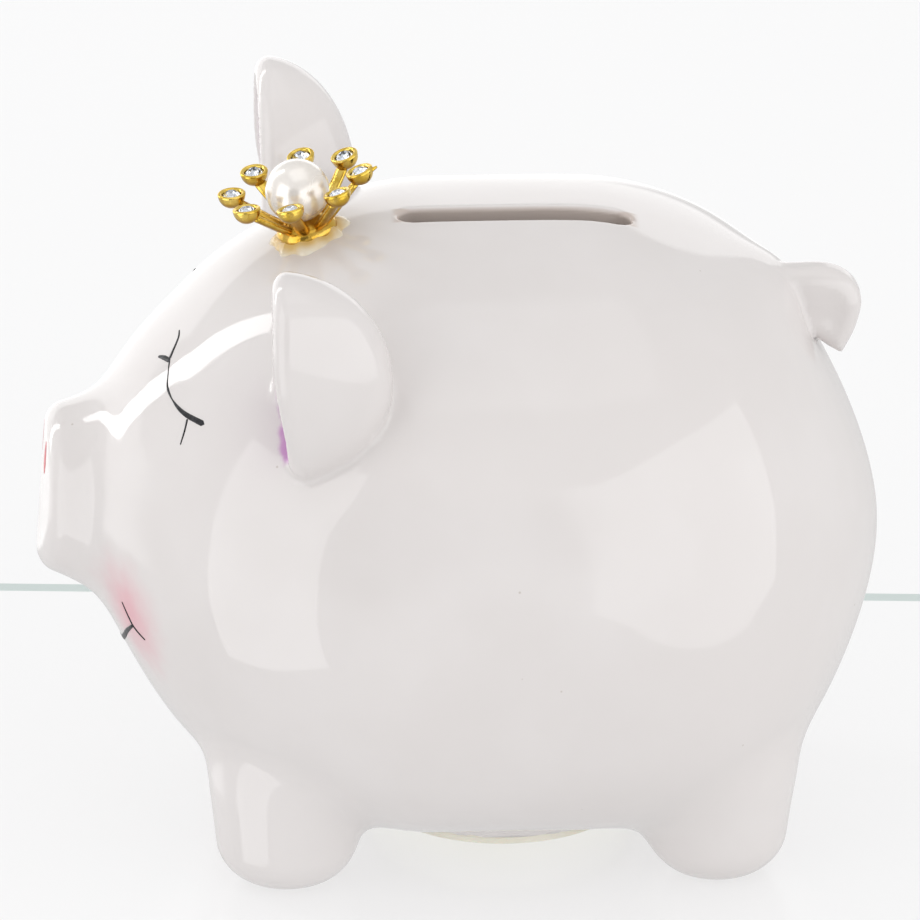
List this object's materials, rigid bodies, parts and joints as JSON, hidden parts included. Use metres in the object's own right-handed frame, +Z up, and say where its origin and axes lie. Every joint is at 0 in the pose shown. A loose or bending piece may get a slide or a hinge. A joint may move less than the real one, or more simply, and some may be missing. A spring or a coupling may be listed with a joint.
{
  "type": "ceramic pig money bank",
  "caption": "Glazed ceramic pig money bank with a coin slot on its back, a soft plug in its base and a gold jewelled crown on its head.",
  "frame": {"origin": "below the middle of the pig's length, on the surface that its soles stand on", "axes": "+Z up, the pig looks along -Y, +X is its left side"},
  "size_m": [0.1048, 0.1308, 0.1111],
  "materials": {
    "glaze": "clear gloss glaze over white earthenware, with painted face and ears",
    "plug": "soft satin, slightly translucent",
    "gold": "bright gold plating on a small zinc casting",
    "pearl": "pearlescent lacquer on a plastic bead",
    "crystal": "clear faceted glass with a foil back",
    "glue": "clear cured glue"
  },
  "bodies": {
    "bank": {"body_shell": "glaze", "ear_left": "glaze", "ear_right": "glaze", "tail": "glaze", "crown_frame": "gold", "pearl": "pearl", "rhinestone_1": "crystal", "rhinestone_2": "crystal", "rhinestone_3": "crystal", "rhinestone_4": "crystal", "rhinestone_5": "crystal", "rhinestone_6": "crystal", "rhinestone_7": "crystal", "rhinestone_8": "crystal", "crown_adhesive": "glue"},
    "plug": {"stopper": "plug"}
  },
  "joints": [
    {"name": "stopper_pull", "type": "slide", "parent": "bank", "child": "plug", "axis": [0, 0, -1], "range_m": [0, 0.014]}
  ]
}
